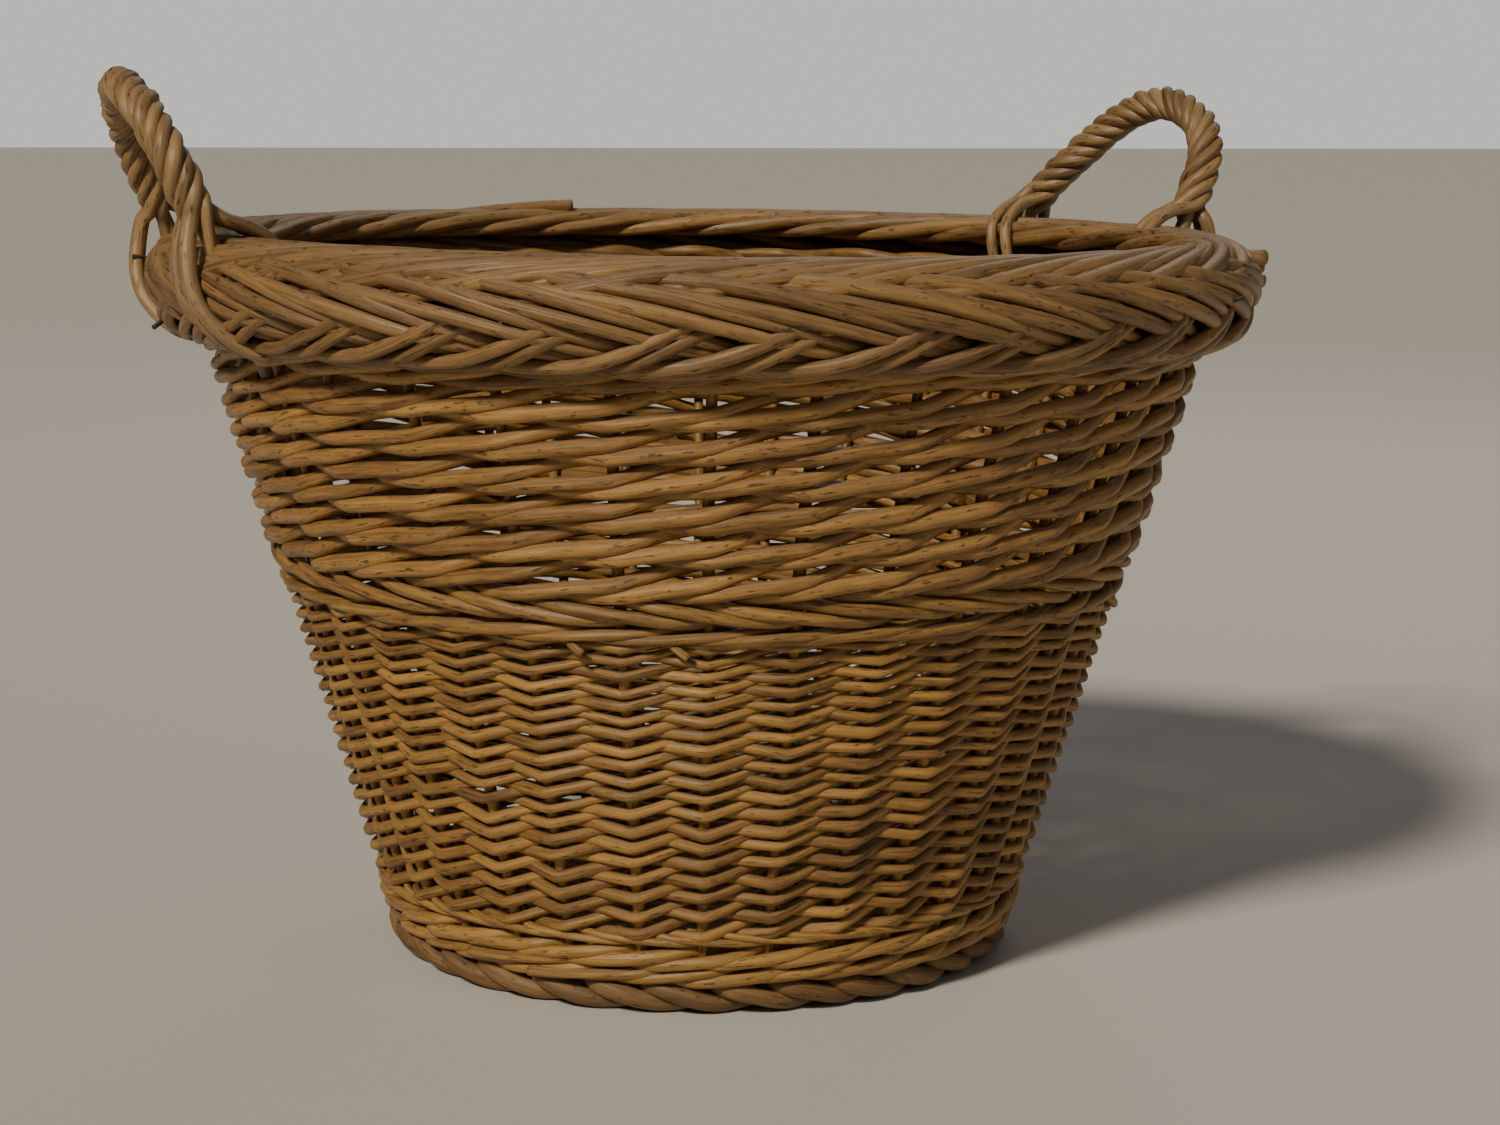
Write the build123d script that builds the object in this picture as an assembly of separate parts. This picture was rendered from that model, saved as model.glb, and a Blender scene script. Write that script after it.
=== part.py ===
from build123d import *
import math
import os

# Round tapered wicker basket with two upright roped handles.
# Millimetres, +Z up.  The origin is on the floor, under the centre of the basket,
# and the two handles stand at the +X and -X sides.

# --- driving dimensions -------------------------------------------------------

CLEAR = 0.3                      # gap left between neighbouring woven pieces

STAKE_COUNT = 32                 # upright rods, two beside each base stick end
STAKE_PITCH = 360.0 / STAKE_COUNT
STAKE_PHASE = -2.45              # azimuth of the first stake, degrees
STAKE_RADIUS = 2.6
STAKE_INNER_END = 98.0           # radius at which a stake starts inside the base
STAKE_TOP = 300.0                # height at which a stake ends inside the border
STAKE_BEND = 10.0                # radius of the bend where a stake turns up

WALL_FOOT_RADIUS = 136.3         # outer radius of the cone at floor level
WALL_SLOPE = 0.305               # radius gained for each millimetre of height
WALL_THICKNESS = 13.0
WALE_EXTRA = 1.0                 # how far a wale stands proud of the siding

FOOT_TOP = 14.0
UPSETT_TOP = 37.0
LOWER_SIDING_TOP = 165.0
MIDDLE_WALE_TOP = 184.0
UPPER_SIDING_TOP = 272.0

FOOT_INNER_RADIUS = 122.0
FOOT_OUTER_RADIUS = 139.5
FOOT_ROUNDING = 4.0

BASE_THICKNESS = 12.0
BASE_HOLE_RADIUS = 27.0          # the crossed sticks show inside this radius

STICK_RADIUS = 3.8
STICK_PITCH = 8.4                # spacing of the parallel sticks at the crossing
STICK_END_RADIUS = 121.0
STICKS_EACH_WAY = 4
STICK_STRAIGHT = 25.75           # half length over which the sticks stay parallel
SPLIT_HALF_LENGTH = 19.0         # half length of the slit in a pierced stick
SPLIT_HALF_HEIGHT = 6.4          # the pierced stick swells round the slit
SPLIT_ROUNDING = 2.1

BORDER_SECTION = (               # radius and height of each corner of the border
    (205.0, 272.3),
    (227.0, 272.3),
    (246.0, 299.0),
    (246.0, 311.0),
    (238.0, 318.5),
    (212.0, 318.5),
    (204.5, 312.0),
)
BORDER_ROUNDING = 3.5

HANDLE_AZIMUTHS = {"right": 8.0, "left": 172.0}
HANDLE_LEAN = 24.0               # degrees outward from upright
HANDLE_CHORD_RADIUS = 228.0      # distance of the feet's chord from the axis
HANDLE_BASE_HEIGHT = 317.0       # height of the feet's chord
HANDLE_ROOT = (53.0, -60.0)      # half spacing and depth of the hidden leg ends
HANDLE_HIP = (60.0, 4.0)         # half spacing and height where the legs bend
HANDLE_BOWS = {                  # corners of each bow above its hips, in its own plane
    "right": ((-59.0, 50.0), (-9.0, 72.0), (30.0, 40.0)),
    "left": ((-45.0, 50.0), (2.0, 72.0), (56.0, 52.0)),
}
BOW_BENDS = (34.0, 44.0, 34.0)   # bend radius at each of those corners
HIP_BEND = 40.0
CORE_RADIUS = 3.5
ROPE_RADIUS = 8.5

TAIL_RADIUS = 3.0
TAIL_SPACING = 6.6               # between the two rods of a tail
TAIL_ROUTE = (                   # radius and height of the tail's centre line
    (251.6, 317.0),
    (250.2, 298.0),
    (231.0, 269.4),
    (223.5, 267.0),
)
TAIL_BENDS = (12.0, 8.0)
TAIL_SWEEP = 6.0                 # degrees that a tail runs along the border on its way
TAIL_POINTS = 8                  # places through which the swept tail is drawn

# --- helpers ------------------------------------------------------------------


def wall_radius(height):
    """Outer radius of the siding at a height."""
    return WALL_FOOT_RADIUS + WALL_SLOPE * height


def stake_radius_at(height):
    """Distance from the axis to the middle of the wall at a height."""
    return wall_radius(height) - WALL_THICKNESS / 2


def stake_azimuth(index):
    return STAKE_PHASE + index * STAKE_PITCH


def rod_along(path, radius):
    """A round rod along a path."""
    section = Plane(origin=path @ 0, z_dir=path % 0) * Circle(radius)
    return sweep(section, path=path)


def turned(shape, azimuth):
    return Rot(0, 0, azimuth) * shape


def ring(corners, rounding=0.0):
    """A closed ring whose section is given as radius and height corners."""
    section = make_face(Polyline(*corners, close=True))
    if rounding:
        section = fillet(section.vertices(), rounding)
    return revolve(Plane.XZ * section, Axis.Z)


def wall_band(bottom, top, proud=0.0):
    """One band of the tapered wall, between two heights."""
    low = bottom + CLEAR
    return ring((
        (wall_radius(low) + proud, low),
        (wall_radius(top) + proud, top),
        (wall_radius(top) - WALL_THICKNESS - proud, top),
        (wall_radius(low) - WALL_THICKNESS - proud, low),
    ))


# --- stakes -------------------------------------------------------------------


def base_height():
    """Height of the middle of the woven base."""
    return FOOT_TOP + CLEAR + BASE_THICKNESS / 2


def one_stake(radius):
    """A stake at azimuth zero: out through the base, then up the wall."""
    level = base_height()
    path = FilletPolyline(
        (STAKE_INNER_END, 0, level),
        (stake_radius_at(level), 0, level),
        (stake_radius_at(STAKE_TOP), 0, STAKE_TOP),
        radius=STAKE_BEND,
    )
    return rod_along(path, radius)


def all_stakes(radius):
    rod = one_stake(radius)
    return [turned(rod, stake_azimuth(index)) for index in range(STAKE_COUNT)]


# --- base ---------------------------------------------------------------------


def stick_direction():
    """Azimuth of the middle of the fanned sticks, whose ends lie between stakes."""
    return STAKE_PHASE + 1.5 * STAKE_PITCH


def stick_path(row):
    """The line of one of the parallel sticks, which fan out past the crossing."""
    spread = (row - (STICKS_EACH_WAY - 1) / 2) * 2 * STAKE_PITCH
    offset = (row - (STICKS_EACH_WAY - 1) / 2) * STICK_PITCH
    straight = STICK_STRAIGHT
    far_x = STICK_END_RADIUS * math.cos(math.radians(spread))
    far_y = STICK_END_RADIUS * math.sin(math.radians(spread))
    return FilletPolyline(
        (-far_x, far_y, 0),
        (-straight, offset, 0),
        (straight, offset, 0),
        (far_x, far_y, 0),
        radius=BASE_HOLE_RADIUS,
    )


def base_stick(row, radius, pierced):
    """A base stick; a pierced one swells round the slit that takes the others."""
    stick = rod_along(stick_path(row), radius)
    if not pierced:
        return stick
    offset = (row - (STICKS_EACH_WAY - 1) / 2) * STICK_PITCH
    block = Box(2 * SPLIT_HALF_LENGTH, 2 * STICK_RADIUS, 2 * SPLIT_HALF_HEIGHT)
    swelling = fillet(block.edges().filter_by(Axis.Y), SPLIT_ROUNDING)
    return stick + Pos(0, offset, 0) * swelling


def place_stick(stick, across):
    """Sticks lie along the first stick direction, or across it."""
    turn = stick_direction() + (90.0 if across else 0.0)
    return Pos(0, 0, base_height()) * turned(stick, turn)


def through_sticks(radius):
    rows = range(STICKS_EACH_WAY)
    return [place_stick(base_stick(row, radius, False), False) for row in rows]


def pierced_sticks(radius):
    """The pierced sticks, each with the slit that the through sticks pass."""
    slit = place_stick(
        Box(
            STICKS_EACH_WAY * STICK_PITCH + CLEAR,
            2 * SPLIT_HALF_LENGTH,
            2 * (STICK_RADIUS + CLEAR),
        ),
        True,
    )
    rows = range(STICKS_EACH_WAY)
    solid_sticks = [place_stick(base_stick(row, radius, True), True) for row in rows]
    return [stick - slit for stick in solid_sticks]


def base_weave(channels):
    """The woven disc round the crossing, resting on the foot border."""
    bottom = FOOT_TOP + CLEAR
    outer = wall_radius(bottom) - WALL_THICKNESS - WALE_EXTRA - CLEAR
    disc = ring((
        (BASE_HOLE_RADIUS, bottom),
        (outer, bottom),
        (outer, bottom + BASE_THICKNESS),
        (BASE_HOLE_RADIUS, bottom + BASE_THICKNESS),
    ))
    return disc - channels


# --- foot and top borders -----------------------------------------------------


def foot_border():
    return ring(
        (
            (FOOT_INNER_RADIUS, 0),
            (FOOT_OUTER_RADIUS, 0),
            (FOOT_OUTER_RADIUS, FOOT_TOP),
            (FOOT_INNER_RADIUS, FOOT_TOP),
        ),
        FOOT_ROUNDING,
    )


def top_border(channels):
    return ring(BORDER_SECTION, BORDER_ROUNDING) - channels


# --- handles ------------------------------------------------------------------


def handle_plane(azimuth):
    """Plane of a handle: its X runs along the chord, its Y up the leaning bow."""
    lean = math.radians(HANDLE_LEAN)
    plane = Plane(
        origin=(HANDLE_CHORD_RADIUS, 0, HANDLE_BASE_HEIGHT),
        x_dir=(0, 1, 0),
        z_dir=(math.cos(lean), 0, -math.sin(lean)),
    )
    return Plane(turned(plane.location, azimuth))


def handle_bow(side, radius):
    """A round rod or rope along the bow of one handle, with its hidden roots."""
    hip_x, hip_y = HANDLE_HIP
    root_x, root_y = HANDLE_ROOT
    path = FilletPolyline(
        (-root_x, root_y),
        (-hip_x, hip_y),
        *HANDLE_BOWS[side],
        (hip_x, hip_y),
        (root_x, root_y),
        radius=[HIP_BEND, *BOW_BENDS, HIP_BEND],
    )
    return rod_along(handle_plane(HANDLE_AZIMUTHS[side]) * path, radius)


def handle_rope(side):
    """The strands wound round the bow, as one sleeve that ends above the border."""
    border_top = max(height for radius, height in BORDER_SECTION)
    reach = 2 * max(radius for radius, height in BORDER_SECTION)
    below = Pos(0, 0, border_top + CLEAR - reach / 2) * Box(2 * reach, 2 * reach, reach)
    sleeve = handle_bow(side, ROPE_RADIUS) - handle_bow(side, CORE_RADIUS + CLEAR / 2)
    return sleeve - below


def foot_azimuth(side, leg):
    """Azimuth of a handle's foot; leg is -1 or +1."""
    half_angle = math.degrees(math.atan(HANDLE_HIP[0] / HANDLE_CHORD_RADIUS))
    return HANDLE_AZIMUTHS[side] + leg * half_angle


def tail_path():
    """The line of a tail: down over the border while it runs on along it."""
    flat = FilletPolyline(*[(r, 0, z) for r, z in TAIL_ROUTE], radius=list(TAIL_BENDS))
    points = []
    for index in range(TAIL_POINTS + 1):
        share = index / TAIL_POINTS
        turn = math.radians(TAIL_SWEEP * share**2)
        place = flat @ share
        points.append((place.X * math.cos(turn), place.X * math.sin(turn), place.Z))
    return Spline(*points)


def handle_tail(side, leg):
    """The two strand ends that pass down over the border at a handle's foot."""
    rod = rod_along(tail_path(), TAIL_RADIUS)
    turn = math.degrees(TAIL_SPACING / 2 / TAIL_ROUTE[-1][0])
    centre = foot_azimuth(side, leg)
    return [turned(rod, centre + step * turn) for step in (-1, 1)]


# --- assembly -----------------------------------------------------------------


def build_parts():
    """Every named piece of the basket."""
    stakes = all_stakes(STAKE_RADIUS)
    stake_channels = all_stakes(STAKE_RADIUS + CLEAR / 2)
    through = through_sticks(STICK_RADIUS)
    pierced = pierced_sticks(STICK_RADIUS)
    stick_channels = through_sticks(STICK_RADIUS + CLEAR / 2) + pierced_sticks(
        STICK_RADIUS + CLEAR / 2
    )
    bow_channels = [
        handle_bow(side, CORE_RADIUS + CLEAR / 2) for side in HANDLE_AZIMUTHS
    ]
    parts = {
        "foot_border": foot_border(),
        "base_weave": base_weave(stake_channels + stick_channels),
        "upsett_wale": wall_band(FOOT_TOP, UPSETT_TOP, WALE_EXTRA) - stake_channels,
        "lower_siding": wall_band(UPSETT_TOP, LOWER_SIDING_TOP) - stake_channels,
        "middle_wale": wall_band(LOWER_SIDING_TOP, MIDDLE_WALE_TOP, WALE_EXTRA)
        - stake_channels,
        "upper_siding": wall_band(MIDDLE_WALE_TOP, UPPER_SIDING_TOP)
        - (stake_channels + bow_channels),
        "top_border": top_border(stake_channels + bow_channels),
    }
    for index, stake in enumerate(stakes):
        parts[f"stake_{index + 1:02d}"] = stake
    for row in range(STICKS_EACH_WAY):
        parts[f"base_stick_through_{row + 1}"] = through[row]
        parts[f"base_stick_pierced_{row + 1}"] = pierced[row]
    for side in HANDLE_AZIMUTHS:
        parts[f"handle_{side}_bow"] = handle_bow(side, CORE_RADIUS)
        parts[f"handle_{side}_rope"] = handle_rope(side)
        for leg, name in ((-1, "a"), (1, "b")):
            parts[f"handle_{side}_tail_{name}"] = Compound(handle_tail(side, leg))
    return parts


def write_parts(parts):
    os.makedirs("parts", exist_ok=True)
    for name, shape in parts.items():
        shape.label = name
        export_step(shape, f"parts/{name}.step")


write_parts(build_parts())
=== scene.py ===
import math

import bpy
import numpy as np
from mathutils import Matrix, Vector


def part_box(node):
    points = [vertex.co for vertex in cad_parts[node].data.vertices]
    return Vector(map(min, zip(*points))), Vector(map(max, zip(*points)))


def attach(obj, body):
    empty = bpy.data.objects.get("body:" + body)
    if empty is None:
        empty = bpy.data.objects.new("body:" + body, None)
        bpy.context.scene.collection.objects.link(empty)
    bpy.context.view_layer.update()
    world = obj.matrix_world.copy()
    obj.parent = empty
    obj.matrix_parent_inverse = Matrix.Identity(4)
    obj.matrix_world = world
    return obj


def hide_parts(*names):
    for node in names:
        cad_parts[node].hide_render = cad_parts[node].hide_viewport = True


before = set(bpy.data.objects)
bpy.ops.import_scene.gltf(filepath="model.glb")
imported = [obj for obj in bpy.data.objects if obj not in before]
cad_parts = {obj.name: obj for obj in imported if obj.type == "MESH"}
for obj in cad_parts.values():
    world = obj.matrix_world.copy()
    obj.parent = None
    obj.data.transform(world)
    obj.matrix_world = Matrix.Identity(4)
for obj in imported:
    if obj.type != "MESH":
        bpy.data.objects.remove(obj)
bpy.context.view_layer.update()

# The visual model of a round willow basket: every rod of the weave is a tapered tube.
# Lengths are in metres and azimuths are counted in stakes, unless a comment says otherwise.

MM = 0.001
TURN = 2.0 * math.pi
RANDOM = np.random.default_rng(20261117)

# --- places taken from the frame ----------------------------------------------

UPSETT_LOW, UPSETT_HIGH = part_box("upsett_wale")
LOWER_LOW, LOWER_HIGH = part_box("lower_siding")
MIDDLE_LOW, MIDDLE_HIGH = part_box("middle_wale")
UPPER_LOW, UPPER_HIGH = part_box("upper_siding")
BORDER_LOW, BORDER_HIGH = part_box("top_border")
BASE_LOW, BASE_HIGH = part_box("base_weave")

STAKES = sum(1 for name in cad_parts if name.startswith("stake_"))
STAKE_PHASE = math.radians(-2.45)
STAKE_STEP = TURN / STAKES
WALL_THICKNESS = 13 * MM
WALL_SLOPE = (UPPER_HIGH[0] - LOWER_HIGH[0]) / (UPPER_HIGH[2] - LOWER_HIGH[2])
WALL_TILT = math.atan(WALL_SLOPE)

# --- small mathematics --------------------------------------------------------


def middle_radius(height):
    """Distance from the axis to the middle of the wall."""
    outer = UPPER_HIGH[0] + WALL_SLOPE * (height - UPPER_HIGH[2])
    return outer - WALL_THICKNESS / 2


def azimuth(step):
    """Azimuth in radians of a place counted in stakes."""
    return STAKE_PHASE + step * STAKE_STEP


def on_wall(step, height, out):
    """Points on the tapered wall, moved outward along its normal."""
    radius = middle_radius(height) + out * math.cos(WALL_TILT)
    angle = azimuth(step)
    level = height - out * math.sin(WALL_TILT)
    return np.stack([radius * np.cos(angle), radius * np.sin(angle), level], axis=-1)


def distances(line):
    """Length of a line up to each of its points."""
    return np.concatenate([[0], np.cumsum(np.linalg.norm(np.diff(line, axis=0), axis=1))])


def eased(values, rounds):
    """Rounds the corners of a sampled line and keeps its two ends."""
    line = np.array(values, dtype=float)
    for _ in range(rounds):
        inner = (line[:-2] + 2 * line[1:-1] + line[2:]) / 4
        line = np.concatenate([line[:1], inner, line[-1:]])
    return line


def wander(count, drift):
    """Smooth random drift along a line; drift is a wave's length in samples and its size."""
    wave, size = drift
    knots = max(3, int(count / wave) + 3)
    values = RANDOM.normal(0, size, knots)
    places = np.linspace(0, knots - 1, count)
    low = np.clip(places.astype(int), 0, knots - 2)
    part = places - low
    part = part * part * (3 - 2 * part)
    return values[low] * (1 - part) + values[low + 1] * part


# --- rods ---------------------------------------------------------------------

THICKNESS_DRIFT = (9, 0.025)     # samples in a wave, and share of the radius
OUT_OF_ROUND = 0.02              # share by which a rod's section is uneven
END_CROWN = 0.12                 # how far the middle of a cut end stands out, in radii
GRAIN_SHIFT = 40                 # most metres by which the grain of a rod is moved along it
NO_ROD_DIRECTION = (0.13, 0.31, 0.94)    # no rod starts out along this


class Rods:
    """Collects tapered tubes and makes one mesh object of them."""

    def __init__(self, sides):
        self.sides = sides
        self.points = []
        self.faces = []
        self.marks = []
        self.count = 0

    def add(self, line, radius):
        """A closed tube along a line; radius may change along it."""
        line = np.asarray(line, dtype=float)
        rings = len(line)
        radius = np.broadcast_to(np.asarray(radius, dtype=float), (rings,)).copy()
        radius *= 1 + wander(rings, THICKNESS_DRIFT)
        ahead = np.gradient(line, axis=0)
        ahead /= np.linalg.norm(ahead, axis=1, keepdims=True)
        side, up = self.carried_frame(ahead)
        angle = np.arange(self.sides) * TURN / self.sides
        bumps = 1 + RANDOM.normal(0, OUT_OF_ROUND, self.sides)
        ring = (
            side[:, None, :] * (np.cos(angle) * bumps)[None, :, None]
            + up[:, None, :] * (np.sin(angle) * bumps)[None, :, None]
        )
        tube = line[:, None, :] + ring * radius[:, None, None]
        ends = np.stack([line[0] - ahead[0] * radius[0] * END_CROWN,
                         line[-1] + ahead[-1] * radius[-1] * END_CROWN])
        self.points.append(np.concatenate([tube.reshape(-1, 3), ends]))
        self.faces.append(self.tube_faces(rings) + self.count)
        run = distances(line)
        start, tint = RANDOM.uniform(0, GRAIN_SHIFT), RANDOM.uniform(0, 1)
        along = np.repeat(run + start, self.sides)
        around = np.tile(angle / TURN, rings)
        marks = np.stack([along, around, np.full(along.shape, tint)], axis=-1)
        end_marks = [[start, 0, tint], [start + run[-1], 0, tint]]
        self.marks.append(np.concatenate([marks, end_marks]))
        self.count += rings * self.sides + 2

    @staticmethod
    def carried_frame(ahead):
        """Two directions square to the line, carried along it without twisting."""
        start = np.cross(ahead[0], NO_ROD_DIRECTION)
        side = np.empty_like(ahead)
        side[0] = start / np.linalg.norm(start)
        for index in range(1, len(ahead)):
            turned = side[index - 1] - ahead[index] * (side[index - 1] @ ahead[index])
            side[index] = turned / np.linalg.norm(turned)
        return side, np.cross(ahead, side)

    def tube_faces(self, rings):
        """Faces of a tube as quads; an end triangle repeats its last corner."""
        sides = self.sides
        ring, place = np.meshgrid(np.arange(rings - 1), np.arange(sides), indexing="ij")
        after = (place + 1) % sides
        low, high = ring * sides, (ring + 1) * sides
        skin = np.stack([low + place, low + after, high + after, high + place], axis=-1)
        corner = np.arange(sides)
        following = (corner + 1) % sides
        first = np.full(sides, rings * sides)
        last = (rings - 1) * sides
        start = np.stack([following, corner, first, first], axis=-1)
        finish = np.stack([last + corner, last + following, first + 1, first + 1], axis=-1)
        return np.concatenate([skin.reshape(-1, 4), start, finish])

    def build(self, name, material):
        """One mesh of all the tubes; "rod" holds length along, turn round and tint."""
        points = np.concatenate(self.points)
        faces = np.concatenate(self.faces)
        corners = np.where(faces[:, 2] == faces[:, 3], 3, 4)
        keep = np.ones(faces.shape, dtype=bool)
        keep[:, 3] = corners == 4
        mesh = bpy.data.meshes.new(name)
        mesh.vertices.add(len(points))
        mesh.vertices.foreach_set("co", points.astype(np.float32).ravel())
        mesh.loops.add(int(corners.sum()))
        mesh.loops.foreach_set("vertex_index", faces[keep].astype(np.int32))
        mesh.polygons.add(len(faces))
        starts = np.concatenate([[0], np.cumsum(corners)[:-1]]).astype(np.int32)
        mesh.polygons.foreach_set("loop_start", starts)
        mesh.polygons.foreach_set("use_smooth", corners == 4)
        mesh.update(calc_edges=True)
        marks = mesh.attributes.new("rod", "FLOAT_VECTOR", "POINT")
        marks.data.foreach_set("vector", np.concatenate(self.marks).astype(np.float32).ravel())
        mesh.materials.append(material)
        piece = bpy.data.objects.new(name, mesh)
        bpy.context.scene.collection.objects.link(piece)
        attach(piece, "root")
        return piece


def nodes_named(start):
    """Names of the CAD nodes that begin with start."""
    return [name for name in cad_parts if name.startswith(start)]


# --- weaving ------------------------------------------------------------------


def woven_line(start, length, knots_z, knots_out, samples):
    """Step, height and out offset of a weaver, from knots given at stake steps."""
    step = np.linspace(start, start + length, int(length * samples) + 1)
    return step, np.interp(step, *knots_z), np.interp(step, *knots_out)


STAKE_RADIUS = 2.5 * MM
LEAN_SPREAD = 0.035          # stakes
STAKE_LEAN = RANDOM.normal(0, LEAN_SPREAD, STAKES + 1)
STAKE_LEAN[STAKES] = STAKE_LEAN[0]


def leaned(step):
    """Moves places sideways with the stakes, which never stand quite evenly."""
    return step + np.interp(step % STAKES, np.arange(STAKES + 1), STAKE_LEAN)


LOWER_COURSES = 19
LOWER_SAMPLES = 14           # points of a rod between two stakes
LOWER_BUTT = 2.62 * MM       # radius at the thick end
LOWER_TIP = 2.08 * MM
LOWER_START = -1.04          # stakes before its first stroke at which a rod begins
LOWER_LEVEL_START = (-1.3, -0.9)
LOWER_DROP = 4.0 * MM        # how far below the first course a rod begins
LOWER_PITCHES = (1.16, 0.84)     # heights of the first and last course, of the mean
LOWER_FOOT = 1.0 * MM        # first course above the siding's foot
LOWER_HEAD = 4.5 * MM        # end of the last course above the middle wale's foot
LOWER_UNEVEN = 0.07          # spread of a course's start, as a share of its rise
LOWER_DRIFT = (14, 0.16 * MM)
LOWER_PATH = (
    # stakes passed, rise as a share of the course
    (0.0, 0.0), (0.55, 0.49), (1.0, 0.76), (1.5, 1.01),
)
TAIL_GAP = 0.4               # stakes by which a rod ends short of its last stroke
PRESS = 0.93                 # distance of a rod from its stake, as a share of its radius
THICK_SPREAD = 0.06          # share by which the rods' thicknesses differ
EVEN_SPREAD = 0.04           # the same for rods picked out as even ones


def lower_course_heights():
    """Heights of the courses, closer together towards the thin ends of the rods."""
    pitches = np.linspace(*LOWER_PITCHES, LOWER_COURSES)
    marks = np.concatenate([[0], np.cumsum(pitches)])
    low, high = LOWER_LOW[2] + LOWER_FOOT, MIDDLE_LOW[2] + LOWER_HEAD
    return low + (high - low) * marks / marks[-1]


def lower_weaver(rods, first):
    """One rod of the French randing: over one stake, behind the next, rising."""
    heights = lower_course_heights()
    steps_z, values_z = [*LOWER_LEVEL_START], [heights[0] - LOWER_DROP] * 2
    steps_out, values_out = [-1], [-STAKE_RADIUS - LOWER_BUTT]
    for course in range(LOWER_COURSES):
        rise = heights[course + 1] - heights[course]
        base = heights[course] + RANDOM.normal(0, LOWER_UNEVEN) * rise
        at = 2 * course
        steps_z += [at + step for step, part in LOWER_PATH]
        values_z += [base + part * rise for step, part in LOWER_PATH]
        thick = LOWER_BUTT + (LOWER_TIP - LOWER_BUTT) * course / LOWER_COURSES
        reach = STAKE_RADIUS + PRESS * thick
        steps_out += [at, at + 1]
        values_out += [reach, -reach]
    step, height, out = woven_line(
        LOWER_START, 2 * LOWER_COURSES - TAIL_GAP, (steps_z, values_z), (steps_out, values_out),
        LOWER_SAMPLES)
    height = height + wander(len(height), LOWER_DRIFT)
    size = RANDOM.normal(1, THICK_SPREAD)
    radius = np.linspace(LOWER_BUTT, LOWER_TIP, len(step)) * size
    rods.add(on_wall(leaned(first + step), height, out), radius)


def lower_siding(material):
    """Two pieces, each of every second rod."""
    for half in (0, 1):
        rods = Rods(8)
        for first in range(half, STAKES, 2):
            lower_weaver(rods, first)
        piece = rods.build(f"lower_siding_weave_{half + 1}", material)
        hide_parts("lower_siding")


UPPER_COURSES = 9
UPPER_SAMPLES = 13
UPPER_PITCH = 13.9 * MM
UPPER_BUTT = 3.35 * MM
UPPER_TIP = 2.95 * MM
UPPER_PATH = ((0.0, 0.0), (1.0, 0.37), (1.55, 0.70), (2.0, 0.80), (2.5, 0.88))
UPPER_START = -1.1
UPPER_LEVEL_START = (-1.1, -0.9)
UPPER_DROP = 0.45 * UPPER_PITCH
UPPER_SAG = 0.9 * MM         # how far a rod dips inward between its two stakes
UPPER_FOOT = 3.4 * MM        # first course above the middle wale
UPPER_UNEVEN = 0.04          # spread of a course's start, as a share of its rise
UPPER_DRIFT = (16, 0.3 * MM)


def upper_weaver(rods, first):
    """One thick rod of the upper siding: over two stakes, behind one, rising."""
    bottom = MIDDLE_HIGH[2] + UPPER_FOOT
    steps_z, values_z = [*UPPER_LEVEL_START], [bottom - UPPER_DROP] * 2
    steps_out, values_out = [-1], [-STAKE_RADIUS - UPPER_BUTT]
    for course in range(UPPER_COURSES):
        base = bottom + (course + RANDOM.normal(0, UPPER_UNEVEN)) * UPPER_PITCH
        at = 3 * course
        steps_z += [at + step for step, part in UPPER_PATH]
        values_z += [base + part * UPPER_PITCH for step, part in UPPER_PATH]
        thick = UPPER_BUTT + (UPPER_TIP - UPPER_BUTT) * course / UPPER_COURSES
        reach = STAKE_RADIUS + PRESS * thick
        steps_out += [at, at + 0.5, at + 1, at + 2]
        values_out += [reach, reach - UPPER_SAG, reach, -reach]
    step, height, out = woven_line(
        UPPER_START, 3 * UPPER_COURSES - TAIL_GAP, (steps_z, values_z), (steps_out, values_out),
        UPPER_SAMPLES)
    height = eased(height, 1) + wander(len(height), UPPER_DRIFT)
    out = eased(out, 1)
    size = RANDOM.normal(1, THICK_SPREAD)
    radius = np.linspace(UPPER_BUTT, UPPER_TIP, len(step)) * size
    rods.add(on_wall(leaned(first + step), height, out), radius)


def upper_siding(material):
    """Two pieces, each of every second rod."""
    for half in (0, 1):
        rods = Rods(10)
        for first in range(half, STAKES, 2):
            upper_weaver(rods, first)
        piece = rods.build(f"upper_siding_weave_{half + 1}", material)
        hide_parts("upper_siding")


WALE_SAMPLES = 12
WALE_OVERLAP = 2             # stakes by which a wale runs on past its own start
WALE_PRESS = 0.95
WALE_UNEVEN = 0.4 * MM
WALE_DRIFT = (12, 0.25 * MM)
WALE_SWELL = (50, 0.08)      # samples in a wave, and share of the radius
WALE_LEVELS = ((-0.55, 1), (0.55, -1), (2.45, 1))       # stakes passed, side of the row
WALE_OUT = ((0.9, 0.3), (1.5, 0.8), (2.1, 0.3))         # stakes passed, millimetres added


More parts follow.
